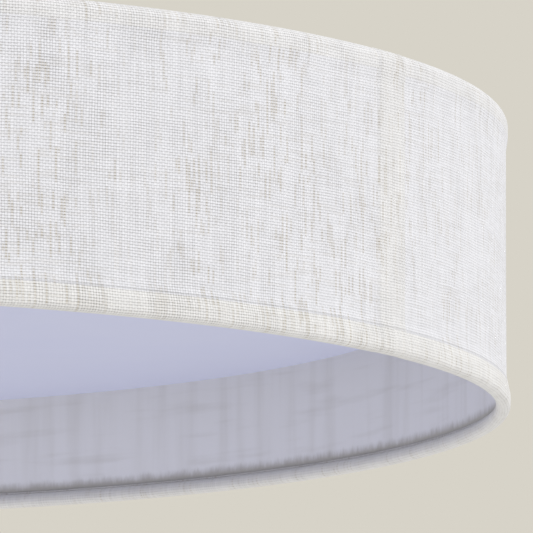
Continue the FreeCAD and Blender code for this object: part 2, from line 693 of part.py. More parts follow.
def terminal_block():
    """A screw terminal block with a screw well over each pole and wire entries on both long sides."""
    half_y = TERMINAL_WIDTH / 2
    low = PAN_INSIDE_Z
    high = low + TERMINAL_HEIGHT
    body = block(-TERMINAL_LENGTH / 2, TERMINAL_LENGTH / 2, TERMINAL_Y - half_y, TERMINAL_Y + half_y, low, high)
    well = TERMINAL_WELL / 2
    entry = TERMINAL_ENTRY / 2
    entry_z = low + TERMINAL_HEIGHT / 2 - TERMINAL_ENTRY
    cuts = []
    for x, y in terminal_places():
        cuts.append(block(x - well, x + well, y - well, y + well, high - TERMINAL_WELL_DEPTH, high))
        for side in (1, -1):
            ends = sorted((y + side * half_y, y + side * (half_y - TERMINAL_ENTRY_DEPTH)))
            cuts.append(block(x - entry, x + entry, ends[0], ends[1], entry_z, entry_z + TERMINAL_ENTRY))
    return body.cut(cuts)


def terminal_screws():
    """Clamping screws in the wells of the terminal block."""
    seat = PAN_INSIDE_Z + TERMINAL_HEIGHT - TERMINAL_WELL_DEPTH
    flats = TERMINAL_WELL * math.sqrt(3) / 2 - SCREW_CLEARANCE
    return [hexagon(flats, seat, seat + TERMINAL_SCREW_HEIGHT, x, y) for x, y in terminal_places()]


def mains_lead():
    """The flat lead from the end of the terminal block round to the end of the driver."""
    z = PAN_INSIDE_Z + DRIVER_EAR_THICKNESS + MAINS_LEAD_THICKNESS / 2
    lead_y = DRIVER_Y - DRIVER_WIDTH / 4
    path = [
        (TERMINAL_LENGTH / 2, TERMINAL_Y),
        (MAINS_LEAD_X, TERMINAL_Y),
        (MAINS_LEAD_X, lead_y),
        (DRIVER_LENGTH / 2, lead_y),
    ]
    return flat_lead(path, MAINS_LEAD_WIDTH, MAINS_LEAD_THICKNESS, MAINS_LEAD_BEND, z)


def output_lead():
    """The driver's output lead, down through the grommet and out to the first bar's connector."""
    high = PAN_INSIDE_Z + GROMMET_FLANGE + OUTPUT_LEAD_BEND + OUTPUT_LEAD_THICKNESS
    low = BAR_FACE_Z - CONNECTOR_HEIGHT / 2 - PAN_SHEET
    path = [
        (DRIVER_Y - DRIVER_WIDTH / 2, high),
        (GROMMET_Y, high),
        (GROMMET_Y, low),
        (BAR_INNER + CONNECTOR_INSET, low),
    ]
    lead = pressed(strip(path, OUTPUT_LEAD_THICKNESS, OUTPUT_LEAD_BEND), OUTPUT_LEAD_WIDTH)
    return at_azimuth(lead, 90)


def wire_grommet():
    """A rubber bush with a flange on each side of the pan and a slot for the flat lead."""
    high = PAN_INSIDE_Z
    bush = shank(GROMMET_HOLE_RADIUS - PRESS_CLEARANCE, PAN_FACE_Z, high).fuse([
        shank(GROMMET_FLANGE_RADIUS, PAN_FACE_Z - GROMMET_FLANGE, PAN_FACE_Z),
        shank(GROMMET_FLANGE_RADIUS, high, high + GROMMET_FLANGE),
    ])
    half_x = OUTPUT_LEAD_WIDTH / 2 + LEAD_CLEARANCE
    half_y = OUTPUT_LEAD_THICKNESS / 2 + LEAD_CLEARANCE
    slot = block(-half_x, half_x, -half_y, half_y, PAN_FACE_Z - GROMMET_FLANGE, high + GROMMET_FLANGE)
    return moved(bush.cut(slot), 0, GROMMET_Y)


def all_nodes():
    """Every node's name with its solid, or its list of separate solids."""
    bar_angles = azimuths(BAR_AZIMUTH, BAR_COUNT)
    nodes = {
        "base_pan": base_pan(),
        "ceiling_bracket": ceiling_bracket(),
        "ground_screw": ground_screw(),
        "mounting_studs": mounting_studs(),
        "stud_lock_nuts": stud_lock_nuts(),
        "cap_nuts": cap_nuts(),
        "shade_studs": shade_studs(),
        "driver_case": driver_case(),
        "driver_cover": driver_cover(),
        "driver_circuit": driver_circuit(),
        "driver_screws": driver_screws(),
        "terminal_block": terminal_block(),
        "terminal_screws": terminal_screws(),
        "mains_lead": mains_lead(),
        "output_lead": output_lead(),
        "wire_grommet": wire_grommet(),
        "led_chips": [at_azimuth(led_chip(x, y), a) for a in bar_angles for x, y in chip_places()],
        "bar_screws": [at_azimuth(bar_screw(), a) for a in bar_angles],
        "bar_connectors": [at_azimuth(bar_connector(), a) for a in bar_angles],
        "bar_links": [at_azimuth(bar_link(), a) for a in bar_angles[:-1]],
        "shade_fabric": shade_fabric(),
        "shade_liner": shade_liner(),
        "top_ring": flat_ring(TOP_RING_Z),
        "bottom_ring": flat_ring(BOTTOM_RING_Z),
        "diffuser": diffuser(),
    }
    for number, a in enumerate(bar_angles, start=1):
        nodes["led_bar_%d" % number] = at_azimuth(led_bar(), a)
    for number, a in enumerate(azimuths(ARM_AZIMUTH, ARM_COUNT), start=1):
        nodes["shade_arm_%d" % number] = at_azimuth(shade_arm(), a)
        nodes["nut_washer_%d" % number] = at_azimuth(nut_washer(), a)
        nodes["thumb_nut_%d" % number] = at_azimuth(thumb_nut(), a)
    rivets = []
    for number, a in enumerate(azimuths(CLIP_AZIMUTH, CLIP_COUNT), start=1):
        nodes["diffuser_clip_%d" % number] = at_azimuth(diffuser_clip(), a)
        rivets.extend(at_azimuth(clip_rivet(x, y), a) for x, y in clip_rivet_places())
    nodes["clip_rivets"] = rivets
    return nodes


def main():
    os.makedirs("parts", exist_ok=True)
    for name, shape in all_nodes().items():
        if isinstance(shape, list):
            shape = Part.makeCompound(shape)
        shape.exportStep(os.path.join("parts", name + ".step"))
        print(name, "solids", len(shape.Solids), "valid", shape.isValid(), "volume", round(shape.Volume, 1))


main()
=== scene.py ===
import json
import math
from collections import namedtuple

import bpy
from mathutils import Euler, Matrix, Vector

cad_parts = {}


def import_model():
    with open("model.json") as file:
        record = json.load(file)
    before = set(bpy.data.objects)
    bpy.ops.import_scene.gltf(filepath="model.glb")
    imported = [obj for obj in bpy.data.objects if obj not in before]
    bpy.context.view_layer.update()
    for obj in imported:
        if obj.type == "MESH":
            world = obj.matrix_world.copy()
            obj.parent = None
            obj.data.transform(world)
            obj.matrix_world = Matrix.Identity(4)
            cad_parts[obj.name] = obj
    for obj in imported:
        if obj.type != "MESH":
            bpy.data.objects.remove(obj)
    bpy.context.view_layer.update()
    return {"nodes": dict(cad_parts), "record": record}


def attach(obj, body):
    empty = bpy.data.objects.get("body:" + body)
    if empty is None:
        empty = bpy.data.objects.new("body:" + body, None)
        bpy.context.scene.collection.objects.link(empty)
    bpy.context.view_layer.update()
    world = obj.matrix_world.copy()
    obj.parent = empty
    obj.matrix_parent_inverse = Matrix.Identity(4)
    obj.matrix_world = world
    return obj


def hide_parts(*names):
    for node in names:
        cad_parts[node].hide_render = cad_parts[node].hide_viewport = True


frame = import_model()

# A flush mount ceiling light with a linen drum shade.
# Lengths are in metres, and the ceiling is the plane z = 0.

MM = 0.001

# Camera: place, heading and upward tilt in degrees, sensor and lens in millimetres
CAMERA_PLACE = (0.0, -3.0, -0.45733)
CAMERA_YAW = 3.5061
CAMERA_PITCH = 7.8948
SENSOR_WIDTH = 36.0
LENS_LENGTH = 749.2

# Studio: each lamp's azimuth and elevation in degrees and its power in watts
LAMPS = {
    "key": (-35.0, 40.0, 16.0),
    "front": (-85.0, 5.0, 5.0),
    "fill": (-20.0, -5.0, 3.0),
}
LAMP_DISTANCE = 3.0
LAMP_SIZE = 2.0
LAMP_TARGET_Z = -40.0 * MM
SKY_STRENGTH = 0.945
FLOOR_Z = -1.6
FLOOR_HALF = 40.0

# Drum shade: radii to the outer face of the cloth, heights of the hem lines from the rims
RIM_RADIUS = 249.85 * MM
WALL_RADIUS = 248.75 * MM
TOP_RIM_RADIUS = 249.3 * MM
TOP_Z = -2.0 * MM
BOTTOM_Z = -82.5 * MM
ROLL_WIDTH = 4.0 * MM
ROLL_HEIGHT = 4.0 * MM
ROLL_CORNER = 1.9 * MM
TOP_ROLL_CORNER = 3.1 * MM
CLOTH_THICKNESS = 0.5 * MM
LINER_THICKNESS = 0.3 * MM
TUCK_CLEARANCE = 0.4 * MM
LINER_GLUE = 0.15 * MM
LINER_END_GAP = 0.2 * MM
HOOP_RADIUS = 1.4 * MM
HOOP_CLEARANCE = 0.1 * MM
HEM_LINE_BOTTOM = 6.9 * MM
HEM_LINE_TOP = 5.5 * MM
GIRTH = 2 * math.pi * WALL_RADIUS

# Where the rolls run out into the straight wall, in heights of a roll, and the radii of those bends
TOP_ROLL_END = 1.3
TOP_WALL_START = 2.2
BOTTOM_WALL_START = 2.3
TOP_ROLL_BEND = 6 * MM
BOTTOM_ROLL_BEND = 4 * MM
WALL_BEND = 8 * MM

# Lap seam, and the slight waves of the wall as (number round the drum, share of the height, phase)
SEAM_AZIMUTH = -33.2
SEAM_LAP = 13.7 * MM
SEAM_STEP = 0.35 * MM
SEAM_CREASE = 0.15 * MM
LINER_SEAM_OFFSET = 25
WAVE_HEIGHT = 0.06 * MM
WAVES = ((9, 1.0, 1.1), (23, 0.6, 0.4))

# Mesh density
SHADE_SEGMENTS = 900
DIFFUSER_SEGMENTS = 360
HOOP_STEPS = 16
ARC_STEP = 0.18 * MM
CLOTH_RUN = 1.5 * MM
LINER_RUN = 2 * MM
DIFFUSER_ARC_STEP = 0.4 * MM
DIFFUSER_RUN = 20 * MM

# Weave: thread pitches, how many pitches the threads wander, the length over which a thread's
# width and its slubs change, and the relief of the cloth
WARP_PITCH = 0.85 * MM
WEFT_PITCH = 0.75 * MM
WARP_WANDER = 1.3
WEFT_WANDER = 1.7
WARP_SEED = 3.7
WEFT_SEED = 91.3
WIDTH_RUN = 9.0 * MM
SLUB_RUN = 11.0 * MM
CLOTH_RELIEF = 0.20 * MM

# Diffuser
DIFFUSER_RADIUS = 231.5 * MM
DIFFUSER_TOP_Z = -26.9 * MM
DIFFUSER_FACE_Z = -53.5 * MM
DIFFUSER_WALL = 2.5 * MM
DIFFUSER_BEND = 5.5 * MM
DIFFUSER_CENTRE = 0.01 * MM
DIFFUSER_NEAR_CENTRE = 0.3 * MM

# Colours, linear
THREAD_WHITE = (0.895, 0.895, 0.93)
HEM_WHITE = (0.90, 0.89, 0.875)
THREAD_TAN = (0.47, 0.40, 0.28)
GAP_SHADE = (0.38, 0.38, 0.395)
HOLE_SHADE = (0.30, 0.27, 0.22)
LINING_WHITE = (0.80, 0.80, 0.85)
LINING_SHADE = (0.60, 0.59, 0.60)
# ROLL_SHADOW is painted shade: the bottom roll's inner face and the lining just above the roll are darkened
# toward it.
ROLL_SHADOW = (0.41, 0.395, 0.385)
# The opal's blue is a painted reflection of bluish sky light on white acrylic.
OPAL_SKY_REFLECTION = (0.635, 0.665, 0.90)
OPAL_PALE_SKY_REFLECTION = (0.650, 0.680, 0.91)
COAT_WHITE = (0.80, 0.80, 0.79)
COAT_SHADE = (0.76, 0.76, 0.75)
BACKGROUND = (0.680, 0.651, 0.578)
FLOOR_SHADE = (0.74, 0.73, 0.71)
FLOOR_PALE = (0.78, 0.77, 0.75)

Threads = namedtuple("Threads", "number dome gap slub")


# Shader building blocks

class Shader:
    """A material under construction: its node tree and its shader node."""

    def __init__(self, name):
        self.material = bpy.data.materials.new(name)
        self.material.use_nodes = True
        self.tree = self.material.node_tree
        self.bsdf = self.tree.nodes["Principled BSDF"]

    def node(self, kind, **settings):
        """Adds a node and sets its options."""
        made = self.tree.nodes.new(kind)
        for key, value in settings.items():
            setattr(made, key, value)
        return made

    def feed(self, socket, value):
        """Puts a number, a colour or another node's output into a socket."""
        if isinstance(value, bpy.types.NodeSocket):
            self.tree.links.new(value, socket)
        elif isinstance(value, tuple) and len(value) == 3 and socket.type == "RGBA":
            socket.default_value = value + (1.0,)
        else:
            socket.default_value = value

    def math(self, operation, a, b=0.0, c=0.0):
        """One arithmetic step."""
        made = self.node("ShaderNodeMath", operation=operation)
        for socket, value in zip(made.inputs, (a, b, c)):
            self.feed(socket, value)
        return made.outputs[0]

    def mix(self, share, a, b):
        """The colour that lies the given share of the way from a to b."""
        made = self.node("ShaderNodeMix", data_type="RGBA")
        self.feed(made.inputs[0], share)
        self.feed(made.inputs[6], a)
        self.feed(made.inputs[7], b)
        return made.outputs[2]

    def remap(self, value, low, high, to_low=0.0, to_high=1.0):
        """A smooth step: to_low where the value is at low, to_high where it is at high."""
        made = self.node("ShaderNodeMapRange", interpolation_type="SMOOTHSTEP")
        for socket, given in zip(made.inputs, (value, low, high, to_low, to_high)):
            self.feed(socket, given)
        return made.outputs[0]

    def vector(self, x, y, z=0.0):
        """Three numbers as one vector."""
        made = self.node("ShaderNodeCombineXYZ")
        for socket, value in zip(made.inputs, (x, y, z)):
            self.feed(socket, value)
        return made.outputs[0]

    def noise(self, where, scale, detail=2.0, roughness=0.5):
        """Smooth noise between 0 and 1."""
        made = self.node("ShaderNodeTexNoise")
        self.feed(made.inputs["Vector"], where)
        self.feed(made.inputs["Scale"], scale)
        self.feed(made.inputs["Detail"], detail)
        self.feed(made.inputs["Roughness"], roughness)
        return made.outputs[0]

    def place(self):
        """The point on the piece, in metres."""
        return self.node("ShaderNodeTexCoord").outputs["Object"]

    def bump(self, height, distance):
        """Relief: a height from 0 to 1, which stands for the given distance."""
        made = self.node("ShaderNodeBump")
        self.feed(made.inputs["Height"], height)
        self.feed(made.inputs["Distance"], distance)
        self.feed(made.inputs["Strength"], 1.0)
        self.tree.links.new(made.outputs[0], self.bsdf.inputs["Normal"])

    def set(self, **values):
        """Sets inputs of the surface by name, with _ for each space."""
        for key, value in values.items():
            self.feed(self.bsdf.inputs[key.replace("_", " ")], value)


# Materials

def cloth_place(shader):
    """Distance round the drum from the seam and distance up the cloth from the bottom rim, in metres."""
    read = shader.node("ShaderNodeAttribute", attribute_name="cloth")
    parts = shader.node("ShaderNodeSeparateXYZ")
    shader.tree.links.new(read.outputs["Vector"], parts.inputs[0])
    return parts.outputs[0], parts.outputs[1]


def thread_noise(shader, number, along, seed, length):
    """A value that runs smoothly along each thread and differs from thread to thread."""
    across = shader.math("MULTIPLY_ADD", number, 7.31, seed)
    return shader.noise(shader.vector(across, shader.math("DIVIDE", along, length)), 1.0, 1.0)


def threads(shader, across, along, pitch, wander, seed):
    """One set of parallel threads: number, dome of each thread, gap beside it and its slubs."""
    turn = shader.math("ADD", shader.math("DIVIDE", across, pitch), wander)
    number = shader.math("FLOOR", turn)
    part = shader.math("FRACT", turn)
    off_middle = shader.math("ABSOLUTE", shader.math("SUBTRACT", part, 0.5))
    dome = shader.math("SINE", shader.math("MULTIPLY", part, math.pi))
    width = shader.remap(thread_noise(shader, number, along, seed, WIDTH_RUN), 0.3, 0.7, 0.24, 0.36)
    gap = shader.remap(shader.math("SUBTRACT", off_middle, width), 0.0, 0.13)
    slub = shader.remap(thread_noise(shader, number, along, seed + 40.0, SLUB_RUN), 0.55, 0.62)
    return Threads(number, dome, gap, slub)


def seam_marks(shader, around):
    """Where the lap lies, and a painted highlight along the raised edge of its outer layer."""
    beyond = shader.math("MULTIPLY", shader.math("GREATER_THAN", around, GIRTH / 2), GIRTH)
    from_seam = shader.math("SUBTRACT", around, beyond)
    half = SEAM_LAP / 2
    soft_side = shader.remap(from_seam, -half - 1.5 * MM, -half + 1.5 * MM)
    sharp_side = shader.remap(from_seam, half - 0.1 * MM, half + 0.1 * MM, 1.0, 0.0)
    lap = shader.math("MULTIPLY", soft_side, sharp_side)
    # Mask of the painted highlight along the raised edge of the lap.
    off_edge = shader.math("ABSOLUTE", shader.math("SUBTRACT", from_seam, half - 0.3 * MM))
    edge = shader.remap(off_edge, 0.15 * MM, 0.45 * MM, 1.0, 0.0)
    return lap, edge


def hem_marks(shader, along):
    """Where the cloth is doubled by the hems, more openly in the top one."""
    low_hem = shader.remap(along, HEM_LINE_BOTTOM - 0.2 * MM, HEM_LINE_BOTTOM + 0.2 * MM, 1.0, 0.0)
    top_line = TOP_Z - BOTTOM_Z - HEM_LINE_TOP
    high_hem = shader.remap(along, top_line - 0.2 * MM, top_line + 0.2 * MM)
    return shader.math("MAXIMUM", low_hem, shader.math("MULTIPLY", high_hem, 0.6))


def closeness(shader, around, along):
    """Share of the weave that shows, less where the cloth rolls under. It also falls and rises by turns
    round the drum, which paints the gap shade weaker where light falls squarely on the cloth and stronger
    where it grazes.
    """
    # Painted light: the gap shade weakens and strengthens by turns round the drum, as the light falls
    # squarely or at a graze.
    turn = shader.math("MULTIPLY", shader.math("ADD", around, 125 * MM), 3 / WALL_RADIUS)
    wave = shader.math("MULTIPLY_ADD", shader.math("COSINE", turn), 0.33, 0.67)
    rolled = shader.remap(along, 1.0 * MM, -1.5 * MM, 1.0, 0.30)
    return shader.math("MULTIPLY", wave, rolled)


def weave_patches(shader, around, along, show):
    """Patches of more open weave, and patches with more tan slubs."""
    stretched = shader.vector(around, shader.math("MULTIPLY", along, 0.4))
    open_patch = shader.remap(shader.noise(stretched, 90.0, 3.0, 0.6), 0.38, 0.66, 0.35, 1.0)
    open_patch = shader.math("MULTIPLY", open_patch, show)
    tan_patch = shader.remap(shader.noise(stretched, 40.0, 3.0, 0.65), 0.36, 0.58, 0.20, 1.0)
    tan_patch = shader.math("MULTIPLY", tan_patch, shader.math("MULTIPLY_ADD", show, 0.5, 0.5))
    return open_patch, tan_patch


def thread_colour(shader, warp, weft, around, along, double):
    """White threads, each a little lighter or darker along its run, and creamier where doubled."""
    weft_run = thread_noise(shader, weft.number, around, 12.0, 22.0 * MM)
    weft_tone = shader.remap(weft_run, 0.25, 0.75, 0.0, 0.08)
    warp_run = thread_noise(shader, warp.number, along, 55.0, 30.0 * MM)
    warp_tone = shader.remap(warp_run, 0.25, 0.75, 0.0, 0.12)
    colour = shader.mix(double, THREAD_WHITE, HEM_WHITE)
    return shader.mix(shader.math("ADD", weft_tone, warp_tone), colour, GAP_SHADE)


def add_slubs(shader, colour, warp, weft, tan_patch):
    """Tan slubs, mostly of the upright threads and mostly seen in the gaps between the rows."""
    in_gap = shader.math("MULTIPLY_ADD", weft.gap, 0.70, 0.25)
    on_thread = shader.math("MULTIPLY", in_gap, shader.remap(warp.dome, 0.25, 0.85))
    upright = shader.math("MULTIPLY", shader.math("MULTIPLY", warp.slub, tan_patch), on_thread)
    colour = shader.mix(upright, colour, THREAD_TAN)
    level = shader.math("MULTIPLY", weft.slub, shader.math("MULTIPLY", tan_patch, 0.10))
    return shader.mix(level, colour, THREAD_TAN)


def add_gaps(shader, colour, warp, weft, open_patch, double):
    """Shade between rows and columns of threads, and a dark hole where both gaps meet."""
    row_gap = shader.math("MULTIPLY", weft.gap, shader.math("MULTIPLY_ADD", open_patch, 0.36, 0.08))
    column_gap = shader.math("MULTIPLY", warp.gap, shader.math("MULTIPLY", open_patch, 0.34))
    holes = shader.math("MULTIPLY", shader.math("MULTIPLY", weft.gap, warp.gap), open_patch)
    holes = shader.math("MULTIPLY", holes, shader.math("MULTIPLY_ADD", double, 0.40, 0.45))
    colour = shader.mix(shader.math("MAXIMUM", row_gap, column_gap), colour, GAP_SHADE)
    return shader.mix(holes, colour, HOLE_SHADE)


def add_edges(shader, colour, along, lap_highlight):
    """Painted shade along the fold above the bottom hem, a painted highlight on the raised edge of the lap,
    and painted shade on the inner face and underside of the bottom roll.
    """
    # Painted shade: a thin dark line along the fold just above the bottom hem, where a crease falls in
    # shadow.
    fold_shade = shader.math("ABSOLUTE", shader.math("SUBTRACT", along, HEM_LINE_BOTTOM + 0.5 * MM))
    fold_shade = shader.remap(fold_shade, 0.1 * MM, 0.5 * MM, 0.32, 0.0)
    colour = shader.mix(fold_shade, colour, GAP_SHADE)
    # Painted highlight: the raised edge of the lap is lightened toward the hem white, as if catching the
    # light.
    colour = shader.mix(shader.math("MULTIPLY", lap_highlight, 0.6), colour, HEM_WHITE)
    # Painted shade on the inner face and underside of the bottom roll, darker toward the turned-in end.
    roll_shade = shader.remap(along, -2.0 * MM, -6.5 * MM, 0.0, 0.60)
    return shader.mix(roll_shade, colour, ROLL_SHADOW)


def weave_height(shader, warp, weft, show):
    """Relief of the weave: the warp goes over and under the weft by turns, and slubs are thicker."""
    over = shader.math("PINGPONG", shader.math("ADD", warp.number, weft.number), 1.0)
    warp_height = shader.math("MULTIPLY", warp.dome, shader.math("MULTIPLY_ADD", over, 0.45, 0.25))
    weft_height = shader.math("MULTIPLY", weft.dome, shader.math("MULTIPLY_ADD", over, -0.35, 1.0))
    height = shader.math("MULTIPLY", shader.math("MAXIMUM", warp_height, weft_height), show)
    height = shader.math("MULTIPLY_ADD", warp.slub, 0.25, height)
    return shader.math("MULTIPLY_ADD", weft.slub, 0.20, height)


def linen():
    """Plain-woven linen: white threads, tan slubs, small open gaps, and closer, creamier hems and lap."""
    shader = Shader("linen")
    around, along = cloth_place(shader)
    wander = shader.noise(shader.vector(around, along), 38.0, 2.0)
    warp_wander = shader.math("MULTIPLY", wander, WARP_WANDER)
    weft_wander = shader.math("MULTIPLY", wander, WEFT_WANDER)
    warp = threads(shader, around, along, WARP_PITCH, warp_wander, WARP_SEED)
    weft = threads(shader, along, around, WEFT_PITCH, weft_wander, WEFT_SEED)
    show = closeness(shader, around, along)
    open_patch, tan_patch = weave_patches(shader, around, along, show)
    lap, lap_highlight = seam_marks(shader, around)
    double = shader.math("MAXIMUM", hem_marks(shader, along), shader.math("MULTIPLY", lap, 0.7))

    colour = thread_colour(shader, warp, weft, around, along, double)
    colour = add_slubs(shader, colour, warp, weft, tan_patch)
    colour = add_gaps(shader, colour, warp, weft, open_patch, double)
    colour = add_edges(shader, colour, along, lap_highlight)
    shader.set(Base_Color=colour, Roughness=0.92, Specular_IOR_Level=0.2)
    shader.set(Sheen_Weight=0.10, Sheen_Roughness=0.5)
    shader.bump(weave_height(shader, warp, weft, show), CLOTH_RELIEF)
    return shader.material


def lining():
    """Smooth white lining, with painted shadows of the linen's slubs where light shines through, and painted
    shadow at its foot above the roll, over the turned-in hem's edge.
    """
    shader = Shader("lining")
    around, along = cloth_place(shader)
    # Painted shadows of the linen's slubs, seen through the lining as soft streaks.
    streak = shader.noise(shader.vector(around, shader.math("MULTIPLY", along, 0.08)), 130.0, 3.0)
    cross = shader.noise(shader.vector(shader.math("MULTIPLY", around, 0.12), along), 260.0, 2.0)
    slub_shadow = shader.math("ADD", shader.remap(streak, 0.42, 0.75), shader.remap(cross, 0.5, 0.8))
    colour = shader.mix(shader.math("MULTIPLY", slub_shadow, 0.35), LINING_WHITE, LINING_SHADE)
    # Painted shadow at the lining's foot just above the roll, with a ragged top edge, over the turned-in
    # hem's raw edge that lies behind it.
    ragged = shader.noise(shader.vector(around, shader.math("MULTIPLY", along, 0.3)), 320.0, 3.0, 0.7)
    tuck = shader.math("SUBTRACT", along, shader.math("MULTIPLY", ragged, 3.0 * MM))
    tuck = shader.remap(tuck, 3.4 * MM, 6.4 * MM, 0.90, 0.0)
    colour = shader.mix(tuck, colour, ROLL_SHADOW)
    shader.set(Base_Color=colour, Roughness=0.42, Specular_IOR_Level=0.4)
    shader.bump(shader.noise(shader.place(), 900.0, 3.0), 0.03 * MM)
    return shader.material


def opal():
    """Satin opal acrylic, white in itself: its blue tint is a painted reflection of bluish sky light."""
    shader = Shader("opal")
    cloud = shader.noise(shader.place(), 6.0, 3.0)
    # Painted reflection: the cup is tinted blue, with random clouds between two blue tints.
    colour = shader.mix(shader.remap(cloud, 0.3, 0.7), OPAL_SKY_REFLECTION, OPAL_PALE_SKY_REFLECTION)
    haze = shader.remap(shader.noise(shader.place(), 35.0), 0.3, 0.7, 0.46, 0.52)
    shader.set(Base_Color=colour, Roughness=haze, Specular_IOR_Level=0.4)
    shader.bump(shader.noise(shader.place(), 1500.0, 2.0), 0.01 * MM)
    return shader.material


def plated(name, colour, roughness):
    """Plated or plain metal with fine marks from handling."""
    shader = Shader(name)
    grain = shader.noise(shader.place(), 700.0, 4.0)
    blot = shader.noise(shader.place(), 60.0, 3.0)
    dark = tuple(channel * 0.78 for channel in colour)
    shader.set(Base_Color=shader.mix(shader.remap(blot, 0.3, 0.7), colour, dark), Metallic=1.0)
    shader.set(Roughness=shader.remap(grain, 0.2, 0.8, roughness - 0.08, roughness + 0.10))
    shader.bump(grain, 0.02 * MM)
    return shader.material


def powder_coat():
    """White powder coat with its fine orange peel."""
    shader = Shader("powder_coat")
    peel = shader.noise(shader.place(), 520.0, 2.0)
    cloud = shader.noise(shader.place(), 14.0, 3.0)
    shader.set(Base_Color=shader.mix(shader.remap(cloud, 0.35, 0.7), COAT_WHITE, COAT_SHADE))
    shader.set(Roughness=shader.remap(peel, 0.3, 0.7, 0.34, 0.46))
    shader.bump(peel, 0.06 * MM)
    return shader.material


def moulded(name, colour, roughness, grain_size=850.0):
    """Moulded plastic or rubber with a fine grain."""
    shader = Shader(name)
    grain = shader.noise(shader.place(), grain_size, 3.0)
    cloud = shader.noise(shader.place(), 45.0, 2.0)
    dark = tuple(channel * 0.90 for channel in colour)
    shader.set(Base_Color=shader.mix(shader.remap(cloud, 0.3, 0.7), colour, dark))
    shader.set(Roughness=shader.remap(grain, 0.2, 0.8, roughness - 0.06, roughness + 0.08))
    shader.bump(grain, 0.03 * MM)
    return shader.material


# Mesh building blocks

def rounded(corners, step=ARC_STEP):
    """Points along a path of (r, z, radius) corners, with each radius drawn as an arc."""
    points = []
    last = len(corners) - 1
    for i, (r, z, radius) in enumerate(corners):
        if radius <= 0 or i in (0, last):
            points.append((r, z))
            continue
        here = Vector((r, z))
        back = (Vector(corners[i - 1][:2]) - here).normalized()
        on = (Vector(corners[i + 1][:2]) - here).normalized()
        half = back.angle(on) / 2
        centre = here + (back + on).normalized() * (radius / math.sin(half))
        first = here + back * (radius / math.tan(half)) - centre
        turn = (math.pi - 2 * half) * math.copysign(1, on.x * back.y - on.y * back.x)
        count = max(4, round(abs(turn) * radius / step))
        for k in range(count + 1):
            angle = turn * k / count
            x = first.x * math.cos(angle) - first.y * math.sin(angle)
            y = first.x * math.sin(angle) + first.y * math.cos(angle)
            points.append((centre.x + x, centre.y + y))
    return points


def divided(points, step):
    """The same path with long runs cut into pieces no longer than step."""
    result = [points[0]]
    for (r0, z0), (r1, z1) in zip(points, points[1:]):
        count = max(1, math.ceil(math.hypot(r1 - r0, z1 - z0) / step))
        for k in range(1, count + 1):
            result.append((r0 + (r1 - r0) * k / count, z0 + (z1 - z0) * k / count))
    return result


def offset(points, distance):
    """The path moved to its left by a distance."""
    result = []
    for i, here in enumerate(points):
        before = points[max(i - 1, 0)]
        after = points[min(i + 1, len(points) - 1)]
        run = Vector((after[0] - before[0], after[1] - before[1])).normalized()
        result.append((here[0] - run.y * distance, here[1] + run.x * distance))
    return result


def path_lengths(points):
    """The distance along a path to each of its points."""
    lengths = [0.0]
    for (r0, z0), (r1, z1) in zip(points, points[1:]):
        lengths.append(lengths[-1] + math.hypot(r1 - r0, z1 - z0))
    return lengths


def new_object(name, points, faces, material):
    """A smooth-shaded mesh of one material."""
    mesh = bpy.data.meshes.new(name)
    mesh.from_pydata(points, [], faces)
    mesh.materials.append(material)
    mesh.update()
    for polygon in mesh.polygons:
        polygon.use_smooth = True
    made = bpy.data.objects.new(name, mesh)
    bpy.context.collection.objects.link(made)
    return made


def even_turns(segments):
    """Equal shares of a turn."""
    return [k / segments for k in range(segments)]


def turned(name, profile, turns, material, start=0.0, swell=None):
    """A closed profile of (r, z) turned about the lamp's axis through shares of a turn, from an azimuth."""
    count = len(profile)
    points = []
    for share in turns:
        turn = start + 2 * math.pi * share
        c, s = math.cos(turn), math.sin(turn)
        for i, (r, z) in enumerate(profile):
            grow = swell(i, share) if swell else 0.0
            points.append(((r + grow) * c, (r + grow) * s, z))
    faces = []
    for k in range(len(turns)):
        for i in range(count):
            j = (i + 1) % count
            a, b = k * count, (k + 1) % len(turns) * count
            faces.append((a + i, b + i, b + j, a + j))
    return new_object(name, points, faces, material)


def write_cloth_place(piece, heights, turns, radius):
    """Stores at each face's corners the distance round the drum and the distance up the cloth."""
    count = len(heights)
    ends = turns[1:] + [1.0]
    store = piece.data.attributes.new("cloth", "FLOAT_VECTOR", "CORNER")
    values = []
    for low, high in zip(turns, ends):
        near = low * 2 * math.pi * radius
        far = high * 2 * math.pi * radius
        for i in range(count):
            this = heights[i]
            next_one = heights[(i + 1) % count]
            for corner in ((near, this), (far, this), (far, next_one), (near, next_one)):
                values.extend(corner + (0.0,))
    store.data.foreach_set("vector", values)


# The shade

